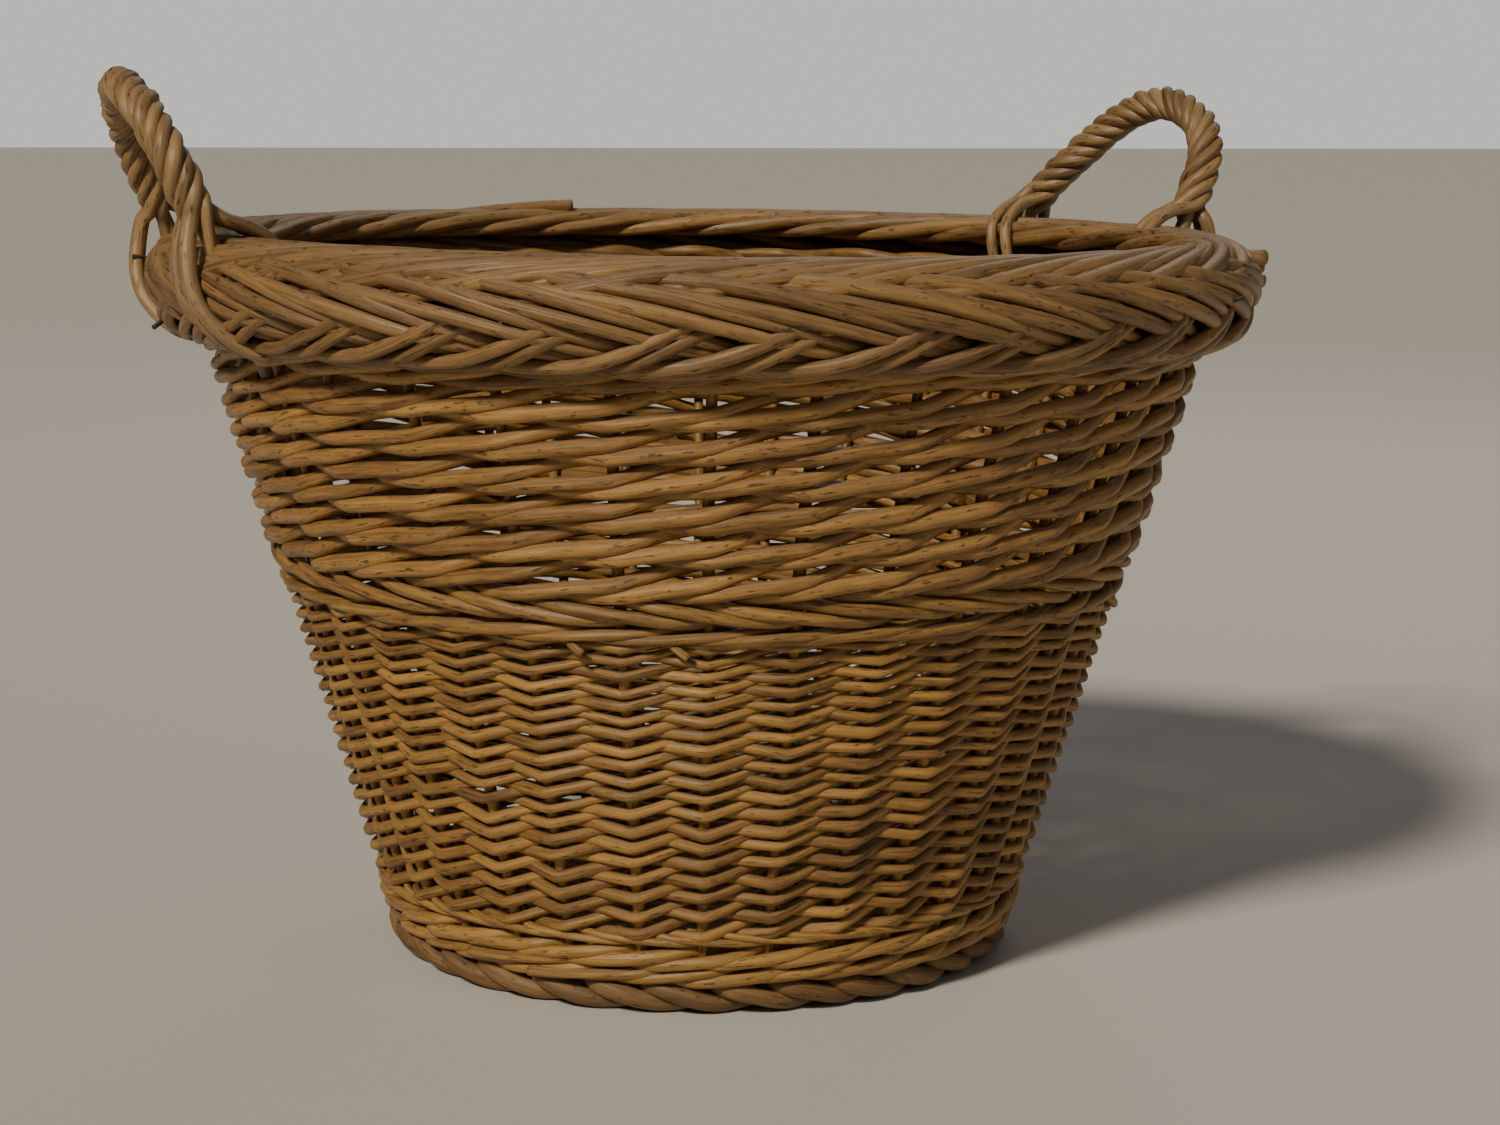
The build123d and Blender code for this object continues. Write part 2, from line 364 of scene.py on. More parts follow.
def wale_strand(rods, height, rise, thick, phase):
    """One rod of a wale row, in strokes over two stakes and behind one."""
    reach = STAKE_RADIUS + WALE_PRESS * thick
    length = STAKES + WALE_OVERLAP
    steps_z, values_z, steps_out, values_out = [], [], [], []
    for turn in range(length // 3 + 2):
        at = 3 * turn
        lift = RANDOM.normal(0, WALE_UNEVEN)
        steps_z += [at + step for step, _ in WALE_LEVELS]
        values_z += [height + lift + side * rise / 2 for _, side in WALE_LEVELS]
        steps_out += [at] + [at + step for step, _ in WALE_OUT]
        values_out += [-reach] + [reach + more * MM for _, more in WALE_OUT]
    order = np.argsort(steps_z)
    knots_z = (np.array(steps_z)[order], np.array(values_z)[order])
    step, level, out = woven_line(0, length, knots_z, (steps_out, values_out), WALE_SAMPLES)
    level = eased(level, 5) + wander(len(level), WALE_DRIFT)
    radius = thick * (1 + wander(len(level), WALE_SWELL))
    rods.add(on_wall(leaned(phase + step), level, eased(out, 4)), radius)


def wale_rows(rods, rows, low, high):
    """Rows of three-rod waling between two heights."""
    for share, rise, thick, phase in rows:
        for strand in range(3):
            height = low + share * (high - low)
            wale_strand(rods, height, rise * MM, thick * MM, phase + strand)


MIDDLE_ROWS = (
    # share of the band's height, rise and rod radius in millimetres, first stake
    (0.20, 3.6, 2.3, 0.1), (0.72, -8.4, 2.45, 0.5),
)
LOOSE_ENDS = (3.4, 11.5, 20.45, 21.6, 28.4)
LOOSE_SLANT = 0.19           # stakes that a loose end passes
LOOSE_DROP = 3.6 * MM
LOOSE_RADIUS = 1.8 * MM
LOOSE_RAISE = 1.0 * MM       # start of a loose end above the foot of the wale


def loose_end(rods, step, height):
    """The cut end of a rod that comes out between two rows and points downward."""
    share = np.linspace(0, 1, 8)
    out = STAKE_RADIUS + (0.5 + 2.2 * np.sin(share * math.pi / 2)) * LOOSE_RADIUS
    line = on_wall(step + LOOSE_SLANT * share, height - LOOSE_DROP * share, out)
    rods.add(line, LOOSE_RADIUS)


def middle_wale(material):
    rods = Rods(10)
    wale_rows(rods, MIDDLE_ROWS, MIDDLE_LOW[2], MIDDLE_HIGH[2])
    for step in LOOSE_ENDS:
        loose_end(rods, step, MIDDLE_LOW[2] + LOOSE_RAISE)
    piece = rods.build("middle_wale_rods", material)
    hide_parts("middle_wale")


UPSETT_ROWS = (
    (0.19, 5.5, 2.6, 0.0), (0.53, 6.0, 2.6, 1.3), (0.90, -3.0, 1.7, 0.6),
)
WALE_BUTTS = ((18.2, 7.0), (19.3, 3.5))      # stake, millimetres above the upsett's foot
BUTT_RADIUS = 2.3 * MM
BUTT_CLIMB = 1.3 * MM        # rise for each stake passed
BUTT_STEPS = (0, 0.5, 1.6, 2.2, 2.6)
BUTT_OUT = (8.6, 8.2, 5.4, 0.0, -4.0)        # millimetres outside the wall's middle


def wale_butt(rods, step, height):
    """The thick end of a wale rod, cut off in front of the others and running inward."""
    run = np.linspace(0, BUTT_STEPS[-1], 30)
    out = eased(np.interp(run, BUTT_STEPS, BUTT_OUT) * MM, 4)
    rods.add(on_wall(step + run, height + BUTT_CLIMB * run, out), BUTT_RADIUS)


def upsett_wale(material):
    rods = Rods(10)
    for step, height in WALE_BUTTS:
        wale_butt(rods, step, UPSETT_LOW[2] + height * MM)
    wale_rows(rods, UPSETT_ROWS, UPSETT_LOW[2], UPSETT_HIGH[2])
    piece = rods.build("upsett_wale_rods", material)
    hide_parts("upsett_wale")


STAKE_POINTS = 64
STAKE_BOTTOM = BASE_LOW[2] + 6 * MM
STAKE_TOP = BORDER_LOW[2] + 18 * MM
STAKE_BUTT = 2.8 * MM
STAKE_TIP = 2.3 * MM
STAKE_SWAY = (12, 0.012)     # samples in a wave, and stakes
STAKE_DRIFT = (16, 0.15 * MM)


def stakes(material):
    rods = Rods(10)
    for index in range(STAKES):
        heights = np.linspace(STAKE_BOTTOM, STAKE_TOP, STAKE_POINTS)
        step = leaned(np.full(STAKE_POINTS, float(index))) + wander(STAKE_POINTS, STAKE_SWAY)
        radius = np.linspace(STAKE_BUTT, STAKE_TIP, STAKE_POINTS)
        radius *= RANDOM.normal(1, EVEN_SPREAD)
        rods.add(on_wall(step, heights, wander(STAKE_POINTS, STAKE_DRIFT)), radius)
    piece = rods.build("stake_rods", material)
    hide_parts(*nodes_named("stake_"))


# --- border -------------------------------------------------------------------


PROFILE_POINTS = 160
PROFILE_ROUNDS = 60          # of easing at the outline's corners


def profile(corners, distance):
    """Point and outward normal on a section outline, at distances along it."""
    corners = np.array(corners) * MM
    marks = distances(corners)
    fine = np.linspace(0, marks[-1], PROFILE_POINTS)
    radius = eased(np.interp(fine, marks, corners[:, 0]), PROFILE_ROUNDS)
    height = eased(np.interp(fine, marks, corners[:, 1]), PROFILE_ROUNDS)
    slope_r, slope_z = np.gradient(radius), np.gradient(height)
    size = np.hypot(slope_r, slope_z)
    place = [np.interp(distance, fine, values) for values in (radius, height)]
    normal = [np.interp(distance, fine, values)
              for values in (slope_z / size, -slope_r / size)]
    return place, normal


BORDER_OUTLINE = (
    (224.0, 278.0), (234.0, 282.0), (238.5, 292.0), (239.5, 302.0), (236.0, 309.5),
    (228.0, 312.8), (218.0, 313.0), (209.0, 311.8), (199.0, 310.0),
)
BORDER_ROUTE = (
    # stakes passed, distance up the outline and lift above it, both in millimetres
    (0.0, 26, -5.0), (0.35, 33, -2.5), (0.7, 38, 0.5), (1.2, 41.5, 2.6), (2.2, 50, 3.4),
    (3.2, 58, 3.4), (3.9, 63.5, 2.4), (4.4, 65, -0.5), (4.9, 62, -3.4), (5.5, 53, -4.2),
    (5.9, 45, -2.6), (6.3, 40.5, 0.6), (6.8, 37.5, 2.5), (7.6, 31.5, 3.4), (8.3, 24.5, 2.6),
    (8.7, 19, -0.4), (9.1, 11, -3.6), (9.5, 5, -3.2), (9.85, 2.0, -0.5), (10.3, 1.8, 2.6),
    (10.8, 5.5, 3.4), (11.3, 12.5, 3.2), (11.65, 19.5, 1.2), (11.9, 25, -2.4), (12.2, 30, -4.0),
)
BORDER_STUBS = (
    # step, start and end as radius and height, and thickness of a cut rod end
    (30.0, (232.0, 309.5), (251.0, 309.0), 3.3), (30.2, (232.0, 304.0), (252.0, 304.5), 3.3),
    (29.8, (234.0, 302.0), (248.5, 299.0), 3.0),
)
BORDER_TWIGS = (
    # the same for the side shoots
    (14.3, (240.0, 304.0), (250.5, 306.0), 1.1), (15.0, (234.0, 283.0), (242.0, 277.5), 1.1),
    (27.4, (238.0, 296.0), (248.0, 299.0), 0.9), (3.7, (239.0, 300.0), (249.0, 297.0), 1.0),
)
LAID_END = ((0.0, 58, 7.8), (0.4, 57, 7.2), (1.1, 55, 4.8), (1.9, 53, 1.5))
LAID_STAKE = 7.55            # where the laid-in rod lies on the far side of the border
LAID_RADIUS = 3.3 * MM
BORDER_BUTT = 3.65 * MM
BORDER_TIP = 2.75 * MM
BORDER_SAMPLES = 14          # points of a rod between two stakes
PAIR_HALF = 2.95             # millimetres from the middle of a pair to each of its rods
PITCH_SHARE = 0.96           # radius at which a border's slope is measured, of the largest
CLIMB_ROUNDS = 12            # of easing at the route's corners
LIFT_ROUNDS = 8
BORDER_DRIFT = (20, 0.35 * MM)
BORDER_UNEVEN = 0.06         # stakes by which the pairs are spaced unevenly
STUB_POINTS = 6
STUB_TURN = 0.12             # stakes that a cut end passes


def border_line(route, outline, first, offset):
    """Centre line of one rod of a border, shifted sideways by offset."""
    knots = np.array(route)
    count = int((knots[-1, 0] - knots[0, 0]) * BORDER_SAMPLES)
    step = np.linspace(knots[0, 0], knots[-1, 0], count)
    climb = eased(np.interp(step, knots[:, 0], knots[:, 1]), CLIMB_ROUNDS) * MM
    lift = eased(np.interp(step, knots[:, 0], knots[:, 2]), LIFT_ROUNDS) * MM
    pitch = STAKE_STEP * BORDER_HIGH[0] * PITCH_SHARE
    slope = np.arctan(np.gradient(climb) / (np.gradient(step) * pitch))
    climb = climb + offset * np.cos(slope) + wander(count, BORDER_DRIFT)
    step = step - offset * np.sin(slope) / pitch + first
    (radius, height), (normal_r, normal_z) = profile(outline, climb)
    radius = radius + lift * normal_r
    height = height + lift * normal_z
    angle = azimuth(step)
    return np.stack([radius * np.cos(angle), radius * np.sin(angle), height], axis=-1)


def cut_ends(rods, stubs):
    """Short rod ends that stick out of the border."""
    for step, start, finish, thick in stubs:
        ends = np.array([start, finish]) * MM
        radius, height = np.linspace(ends[0], ends[1], STUB_POINTS).T
        angle = azimuth(step + np.linspace(0, STUB_TURN, STUB_POINTS))
        line = np.stack([radius * np.cos(angle), radius * np.sin(angle), height], axis=-1)
        rods.add(line, thick * MM)


def border_twigs(material):
    """Thin dark side shoots left on the rods."""
    rods = Rods(8)
    cut_ends(rods, BORDER_TWIGS)
    rods.build("top_border_twigs", material)


def top_border(material):
    """The paired rods of the border in two pieces, the second with the cut ends."""
    for half in (0, 1):
        rods = Rods(12)
        for first in range(half, STAKES, 2):
            shift = first + RANDOM.normal(0, BORDER_UNEVEN)
            for side in (-1, 1):
                size = RANDOM.normal(1, THICK_SPREAD)
                offset = side * PAIR_HALF * size * MM
                line = border_line(BORDER_ROUTE, BORDER_OUTLINE, shift, offset)
                rods.add(line, np.linspace(BORDER_BUTT, BORDER_TIP, len(line)) * size)
        if half:
            cut_ends(rods, BORDER_STUBS)
            rods.add(border_line(LAID_END, BORDER_OUTLINE, LAID_STAKE, 0), LAID_RADIUS)
        piece = rods.build(f"top_border_rods_{half + 1}", material)
        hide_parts("top_border")


FOOT_OUTLINE = (
    (122.0, 5.3), (133.0, 5.3), (135.8, 8.0), (136.2, 12.0), (136.6, 18.0), (137.0, 24.0),
)
FOOT_ROUTE = (
    (0.0, 19, -10.0), (0.1, 19, -3.5), (0.26, 18.2, 1.0), (1.0, 13.6, 1.6), (1.7, 8.0, 0.6),
    (2.3, 1.5, 0.0), (2.6, -2.0, 0.0),
)
FOOT_BUTT = 4.3              # millimetres
FOOT_TIP = 3.7
FOOT_UNEVEN = 0.05           # stakes by which the rods are spaced unevenly


def foot_border(material):
    """One thick rod from each stake, laid over the next ones and tucked in."""
    rods = Rods(12)
    for first in range(STAKES):
        shift = first + RANDOM.normal(0, FOOT_UNEVEN)
        line = border_line(FOOT_ROUTE, FOOT_OUTLINE, shift, 0)
        radius = np.linspace(FOOT_BUTT, FOOT_TIP, len(line)) * MM
        rods.add(line, radius * RANDOM.normal(1, EVEN_SPREAD))
    piece = rods.build("foot_border_rods", material)
    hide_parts("foot_border")


# --- base ---------------------------------------------------------------------

STICKS_EACH_WAY = 4
STICK_RADIUS = 3.8 * MM
STICK_PITCH = 8.4 * MM
STICK_END = 121 * MM
STICK_TURN = STAKE_PHASE + 1.5 * STAKE_STEP
STICK_POINTS = 61
FAN_START = 24 * MM          # radius at which the sticks begin to fan out
SPLIT_REACH = 17 * MM        # half length of the slits
PIERCED_SWELL = 1.45         # thickness of a pierced stick at its slit, as a share
THROUGH_SWELL = 0.86
STICK_DRIFT = (15, 0.2 * MM)
BASE_MIDDLE = (BASE_LOW[2] + BASE_HIGH[2]) / 2
BASE_CROWN = 1.5 * MM        # rise of the base's middle above its edge
BASE_START = 26 * MM
BASE_END = 119 * MM
BASE_PITCH = 3.5 * MM
BASE_WEAVER = 1.75 * MM
BASE_SWING = 4.4 * MM        # how far a weaver passes above and below the sticks
CROSSINGS = 4 * STICKS_EACH_WAY
BASE_SAMPLES = 7             # points of a weaver between two sticks
BASE_BESIDE = 0.42           # distance between the two weavers, as a share of the pitch
BASE_FLATNESS = 1.25         # of the wave over and under the sticks
BASE_DRIFT = (12, 0.18 * MM)
BASE_RISE_DRIFT = (9, 0.15 * MM)
BASE_SWELL = (90, 0.08)      # samples in a wave, and share of the radius


def base_stick(row, turn, swell_at_slit):
    """Centre line and radius of one stick, straight in the middle and fanned out beyond."""
    along = np.linspace(-1, 1, STICK_POINTS)
    place = row - (STICKS_EACH_WAY - 1) / 2
    far = place * 2 * STAKE_STEP
    share = np.clip((np.abs(along) * STICK_END - FAN_START) / (STICK_END - FAN_START), 0, 1)
    x = along * STICK_END * (1 - share * (1 - math.cos(far)))
    y = eased(place * STICK_PITCH * (1 - share) + STICK_END * math.sin(far) * share, 4)
    level = BASE_MIDDLE + BASE_CROWN * (1 - along**2) + wander(STICK_POINTS, STICK_DRIFT)
    line = np.stack([x * math.cos(turn) - y * math.sin(turn),
                     x * math.sin(turn) + y * math.cos(turn), level], axis=-1)
    swell = 1 + (swell_at_slit - 1) * np.exp(-((along * STICK_END / SPLIT_REACH) ** 4))
    return line, STICK_RADIUS * swell * RANDOM.normal(1, EVEN_SPREAD)


def base_sticks(material):
    """Four sticks and the four pierced ones that they pass through."""
    rods = Rods(12)
    for turn, swell in ((STICK_TURN, THROUGH_SWELL), (STICK_TURN + math.pi / 2, PIERCED_SWELL)):
        for row in range(STICKS_EACH_WAY):
            rods.add(*base_stick(row, turn, swell))
    piece = rods.build("base_sticks", material)
    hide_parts(*nodes_named("base_stick_"))


def base_weave(material):
    """Two rods that pair round the fanned sticks in a spiral."""
    rods = Rods(8)
    turns = int((BASE_END - BASE_START) / BASE_PITCH)
    count = turns * CROSSINGS * BASE_SAMPLES
    crossing = np.linspace(0, turns * CROSSINGS, count)
    radius = BASE_START + (BASE_END - BASE_START) * crossing / crossing[-1]
    half = TURN / CROSSINGS / 2
    for strand in (0, 1):
        wave = np.cos(math.pi * (crossing + strand))
        level = BASE_MIDDLE + BASE_CROWN * (1 - (radius / STICK_END) ** 2)
        level = level + np.clip(BASE_FLATNESS * wave, -1, 1) * BASE_SWING
        beside = BASE_BESIDE * BASE_PITCH * np.sin(math.pi * (crossing + strand))
        angle = STICK_TURN + half + crossing * 2 * half
        reach = radius + beside + wander(count, BASE_DRIFT)
        line = np.stack([reach * np.cos(angle), reach * np.sin(angle),
                         level + wander(count, BASE_RISE_DRIFT)], axis=-1)
        rods.add(line, BASE_WEAVER * (1 + wander(count, BASE_SWELL)))
    piece = rods.build("base_weave_rods", material)
    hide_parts("base_weave")


# --- handles ------------------------------------------------------------------

HANDLE_TURNS = {"right": math.radians(8), "left": math.radians(172)}
HANDLE_LEAN = math.radians(24)
HANDLE_CHORD = 228 * MM
HANDLE_LEVEL = 317 * MM
HANDLE_HIP = (60, 4)         # along the chord and above it, in millimetres, as those below
HANDLE_ROOT = (53, -60)
HANDLE_BOWS = {
    "right": ((-59, 50), (-9, 72), (30, 40)),
    "left": ((-45, 50), (2, 72), (56, 52)),
}
HANDLE_BENDS = (40, 34, 44, 34, 40)
ROPE_STRANDS = 5
ROPE_LAY = 43 * MM           # length of bow in which a strand goes once round
CORE_RADIUS = 3.5 * MM
STRAND_RADIUS = 3.2 * MM
STRAND_REACH = 5.2 * MM
ARC_POINTS = 12
BOW_SPACING = 1.6 * MM       # between the points of a bow
STRAND_SPACING = 1.9 * MM
ROPE_END_HEIGHT = 10 * MM    # how far above the feet's chord the strands part
TURN_SPREAD = 0.05           # radians by which the strands are spaced unevenly
TURN_DRIFT = (25, 0.08)      # samples in a wave, and radians
REACH_DRIFT = (9, 0.3 * MM)
STRAND_KNOTS = 3             # every third point of a strand is one of its knots
STRAND_SPREAD = 0.07         # share by which the strands' thicknesses differ
TIP_THINNING = 0.12          # share of the radius that a strand loses at its ends
TIP_POINTS = 20              # over about this many points
SPLINE_POINTS = 12           # between two knots


def filleted(corners, bends):
    """A flat line through corners, each corner replaced by an arc."""
    corners = np.array(corners, dtype=float)
    points = [corners[0]]
    for before, corner, after, bend in zip(corners, corners[1:], corners[2:], bends):
        back = (before - corner) / np.linalg.norm(before - corner)
        ahead = (after - corner) / np.linalg.norm(after - corner)
        half = math.acos(np.clip(back @ ahead, -1, 1)) / 2
        cut = bend / math.tan(half)
        middle = corner + (back + ahead) / np.linalg.norm(back + ahead) * bend / math.sin(half)
        start, finish = corner + back * cut - middle, corner + ahead * cut - middle
        sweep = math.pi - 2 * half
        for share in np.linspace(0, 1, ARC_POINTS):
            part = np.sin((1 - share) * sweep) * start + np.sin(share * sweep) * finish
            points.append(middle + part / math.sin(sweep))
    points.append(corners[-1])
    return np.array(points)


def evenly(line, spacing):
    """The same line with points at even spacing."""
    run = distances(line)
    places = np.linspace(0, run[-1], max(4, int(run[-1] / spacing)))
    return np.stack([np.interp(places, run, column) for column in line.T], axis=-1)


def handle_frame(side):
    """Origin and axes of the plane of a handle: along the chord, up, and outward."""
    turn = HANDLE_TURNS[side]
    outward = np.array([math.cos(turn), math.sin(turn), 0])
    chord = np.array([-math.sin(turn), math.cos(turn), 0])
    rise = np.array([0, 0, math.cos(HANDLE_LEAN)]) + outward * math.sin(HANDLE_LEAN)
    face = outward * math.cos(HANDLE_LEAN) - np.array([0, 0, math.sin(HANDLE_LEAN)])
    origin = outward * HANDLE_CHORD + np.array([0, 0, HANDLE_LEVEL])
    return origin, chord, rise, face


def bow_line(side):
    """The bow of a handle in its own plane, with its hidden roots."""
    hip, root = HANDLE_HIP, HANDLE_ROOT
    corners = [(-root[0], root[1]), (-hip[0], hip[1]), *HANDLE_BOWS[side],
               (hip[0], hip[1]), (root[0], root[1])]
    return evenly(filleted(corners, HANDLE_BENDS) * MM, BOW_SPACING)


def smooth_through(points, spacing):
    """A smooth line through the points."""
    points = np.array(points)
    padded = np.concatenate([[2 * points[0] - points[1]], points, [2 * points[-1] - points[-2]]])
    pieces = []
    for first, second, third, fourth in zip(padded, padded[1:], padded[2:], padded[3:]):
        share = np.linspace(0, 1, SPLINE_POINTS, endpoint=False)[:, None]
        pieces.append(0.5 * (
            2 * second + (third - first) * share
            + (2 * first - 5 * second + 4 * third - fourth) * share**2
            + (3 * second - first - 3 * third + fourth) * share**3))
    pieces.append(points[-1:])
    return evenly(np.concatenate(pieces), spacing)


def around(turn, radius, height):
    """A point at an azimuth in degrees, a radius and a height in millimetres."""
    angle = math.radians(turn)
    return np.array([radius * math.cos(angle), radius * math.sin(angle), height]) * MM


OUTER_TAIL = (
    # share of the way to the foot, degrees along the border, radius and height
    (0.5, 0.0, 247.2, 321.5), (0.9, 0.2, 249.2, 311.5), (1.0, 0.9, 249.6, 301.0),
    (1.0, 2.1, 246.8, 290.5), (1.0, 3.6, 240.0, 281.5), (1.0, 5.0, 232.0, 275.5),
    (1.0, 5.9, 225.0, 273.5),
)
HANGING_TAIL = (
    (0.1, -0.3, 229.5, 327.0), (0.2, -0.8, 219.0, 323.8), (0.35, -1.6, 208.0, 317.5),
    (0.4, -2.3, 204.3, 309.0), (0.4, -2.8, 204.6, 299.0),
)
TUCKED_TAIL = (
    (0.1, -0.2, 229.5, 327.0), (0.2, -0.5, 221.5, 323.5), (0.35, -1.1, 214.0, 317.5),
    (0.4, -1.5, 211.5, 308.5),
)
INNER_TAILS = {-1: TUCKED_TAIL, 1: HANGING_TAIL}
SHORT_TAIL = ((0.5, 0.0, 238.0, 321.0), (0.8, 0.1, 236.5, 312.0), (1.0, 0.2, 235.0, 303.0))
TAIL_SPREAD = {"outer": 2.3, "short": 0.0, "inner": 4.4}     # degrees between neighbours
TAIL_SWAY = 0.3              # millimetres


def strand_tail(group, place, foot, leg, end):
    """Route of a strand from its end in the rope; place is its side within its group."""
    start = math.degrees(math.atan2(end[1], end[0])) % 360
    gap = (foot - start + 180) % 360 - 180
    route = {"outer": OUTER_TAIL, "short": SHORT_TAIL, "inner": INNER_TAILS[leg]}[group]
    shift = place * TAIL_SPREAD[group]
    sway = RANDOM.normal(0, TAIL_SWAY)
    return [around(start + (gap + shift) * share + along, radius + sway, height)
            for share, along, radius, height in route]


def tail_places(ends, face, chord):
    """Which group each strand end joins, and on which side of the group it lies."""
    order = np.argsort([-(end @ face) for end in ends])
    places = {}
    for group, members in (("outer", order[:2]), ("short", order[2:3]), ("inner", order[3:])):
        turns = sorted(members, key=lambda index: ends[index] @ chord)
        for number, index in enumerate(turns):
            places[index] = (group, number - (len(turns) - 1) / 2)
    return places


def rope_lines(middle, across, face, run):
    """The strands wound round the bow."""
    lines = []
    for strand in range(ROPE_STRANDS):
        start = TURN * strand / ROPE_STRANDS + RANDOM.normal(0, TURN_SPREAD)
        angle = start - TURN * run / ROPE_LAY + wander(len(run), TURN_DRIFT)
        reach = STRAND_REACH + wander(len(run), REACH_DRIFT)
        offset = np.cos(angle)[:, None] * face + np.sin(angle)[:, None] * across
        lines.append(middle + offset * reach[:, None])
    return lines


def handle(side, material):
    """A bow, the strands wound round it, and their ends carried over the border."""
    rods = Rods(10)
    origin, chord, rise, face = handle_frame(side)
    flat = bow_line(side)
    ahead = np.gradient(flat, axis=0)
    ahead /= np.linalg.norm(ahead, axis=1, keepdims=True)
    middle = origin + flat[:, :1] * chord + flat[:, 1:] * rise
    across = -ahead[:, 1:] * chord + ahead[:, :1] * rise
    rods.add(middle, CORE_RADIUS)
    above = np.nonzero(flat[:, 1] > ROPE_END_HEIGHT)[0]
    lines = [line[above] for line in rope_lines(middle, across, face, distances(flat))]
    half_turn = math.degrees(math.atan(HANDLE_HIP[0] * MM / HANDLE_CHORD))
    turn = math.degrees(HANDLE_TURNS[side])
    first = tail_places([line[0] for line in lines], face, chord)
    last = tail_places([line[-1] for line in lines], face, chord)
    for index, line in enumerate(lines):
        start = strand_tail(*first[index], turn - half_turn, -1, line[0])[::-1]
        finish = strand_tail(*last[index], turn + half_turn, 1, line[-1])
        whole = np.concatenate([start, line[1:-1:STRAND_KNOTS], finish])
        path = smooth_through(whole, STRAND_SPACING)
        thick = STRAND_RADIUS * RANDOM.normal(1, STRAND_SPREAD)
        ends = np.minimum(np.arange(len(path)), np.arange(len(path))[::-1])
        rods.add(path, thick * (1 - TIP_THINNING * np.exp(-ends / TIP_POINTS)))
    piece = rods.build(f"handle_{side}_strands", material)
    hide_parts(*nodes_named(f"handle_{side}_"))


# --- materials ----------------------------------------------------------------


BLACK = (0, 0, 0)
WHITE = (1, 1, 1)
DUST_AND_SHEEN = (0.26, 0.172, 0.094)          # upper sides: dust together with a painted sheen
FLECK = (0.028, 0.014, 0.006)        # dark spots of bark
INNER_SHADE = (0.30, 0.24, 0.18)      # painted shade: multiplies the faces that look into the basket
# noises: scale along a rod and round it, detail, and a shift that makes it another one
GRAIN = (35, 9.0, 4, 0)
PATCHES = (70, 1.6, 4, 7)
BROAD = (7, 0.4, 2, 3)
SPOTS = (170, 2.6, 3, 13)
GRAIN_SHARE, PATCH_SHARE, BROAD_SHARE = 0.32, 0.38, 0.30
CONTRAST = 2.6
TONE_LEVEL = 0.32
ROD_DIFFERENCE = 0.36                # how far one rod's tone is from another's
TONE_SPAN = (0.05, 0.95)             # tones at which the dark and the light colour are reached
DUST_AND_SHEEN_SPAN = (0.35, 0.95)             # upward parts of the normal without the dust and painted sheen, and with all of it
SPOT_SPAN = (0.60, 0.66)             # noise outside a fleck and inside it
SPOT_STRENGTH = 0.75
INNER_EDGE = 0.09                    # metres of radius over which the painted inner shade comes in
BUMP_STRENGTH = 0.4
BUMP_HEIGHT = 0.4 * MM
ROUGHNESS_CHANGE = 0.30              # by which the patches change the roughness
ROUGHNESS_SHIFT = 0.08
MIX_FIRST, MIX_SECOND, MIX_RESULT = 6, 7, 2      # colour sockets of a Mix node


class Nodes:
    """Short calls that add nodes to the tree of a willow material."""

    def __init__(self, tree):
        self.tree = tree
        marks = self.new("Attribute")
        marks.attribute_name = "rod"
        self.along, self.around, self.tint = self.split(marks.outputs["Vector"])
        surface = self.new("NewGeometry")
        self.place = self.split(surface.outputs["Position"])
        self.facing = self.split(surface.outputs["Normal"])

    def new(self, kind):
        return self.tree.nodes.new("ShaderNode" + kind)

    def give(self, socket, value):
        """Sets a socket to a number or a colour, or links an output to it."""
        if isinstance(value, (int, float)):
            socket.default_value = value
        elif isinstance(value, tuple):
            socket.default_value = (*value, 1)
        else:
            self.tree.links.new(value, socket)

    def split(self, vector):
        node = self.new("SeparateXYZ")
        self.give(node.inputs[0], vector)
        return node.outputs

    def maths(self, kind, first, second=0):
        node = self.new("Math")
        node.operation = kind
        self.give(node.inputs[0], first)
        self.give(node.inputs[1], second)
        return node.outputs[0]

    def noise(self, scale_along, scale_around, detail, shift):
        """Noise along and round a rod, joined without a seam."""
        angle = self.maths("MULTIPLY", self.around, TURN)
        round_x = self.maths("MULTIPLY", self.maths("COSINE", angle), scale_around)
        round_y = self.maths("MULTIPLY", self.maths("SINE", angle), scale_around)
        place = self.new("CombineXYZ")
        self.give(place.inputs[0], self.maths("MULTIPLY", self.along, scale_along))
        self.give(place.inputs[1], round_x)
        self.give(place.inputs[2], self.maths("ADD", round_y, shift))
        node = self.new("TexNoise")
        node.inputs["Scale"].default_value = 1.0
        node.inputs["Detail"].default_value = detail
        self.give(node.inputs["Vector"], place.outputs[0])
        return node.outputs["Fac"]

    def ramp(self, value, span, low_color, high_color):
        """A colour ramp with two stops, at the ends of span."""
        node = self.new("ValToRGB")
        self.give(node.inputs[0], value)
        first, last = node.color_ramp.elements
        first.position, last.position = span
        first.color, last.color = (*low_color, 1), (*high_color, 1)
        return node.outputs[0]

    def mixed(self, kind, factor, first, second):
        node = self.new("Mix")
        node.data_type = "RGBA"
        node.blend_type = kind
        self.give(node.inputs[0], factor)
        self.give(node.inputs[MIX_FIRST], first)
        self.give(node.inputs[MIX_SECOND], second)
        return node.outputs[MIX_RESULT]


def bark_tone(nodes, grain, patch):
    """Light and dark along a rod and from rod to rod, from 0 to 1."""
    broad = nodes.noise(*BROAD)
    fine = nodes.maths("MULTIPLY", grain, GRAIN_SHARE)
    tone = nodes.maths("ADD", fine, nodes.maths("MULTIPLY", patch, PATCH_SHARE))
    tone = nodes.maths("ADD", tone, nodes.maths("MULTIPLY", broad, BROAD_SHARE))
    tone = nodes.maths("MULTIPLY", nodes.maths("SUBTRACT", tone, 0.5), CONTRAST)
    tone = nodes.maths("ADD", tone, TONE_LEVEL)
    return nodes.maths("ADD", tone, nodes.maths("MULTIPLY", nodes.tint, ROD_DIFFERENCE))


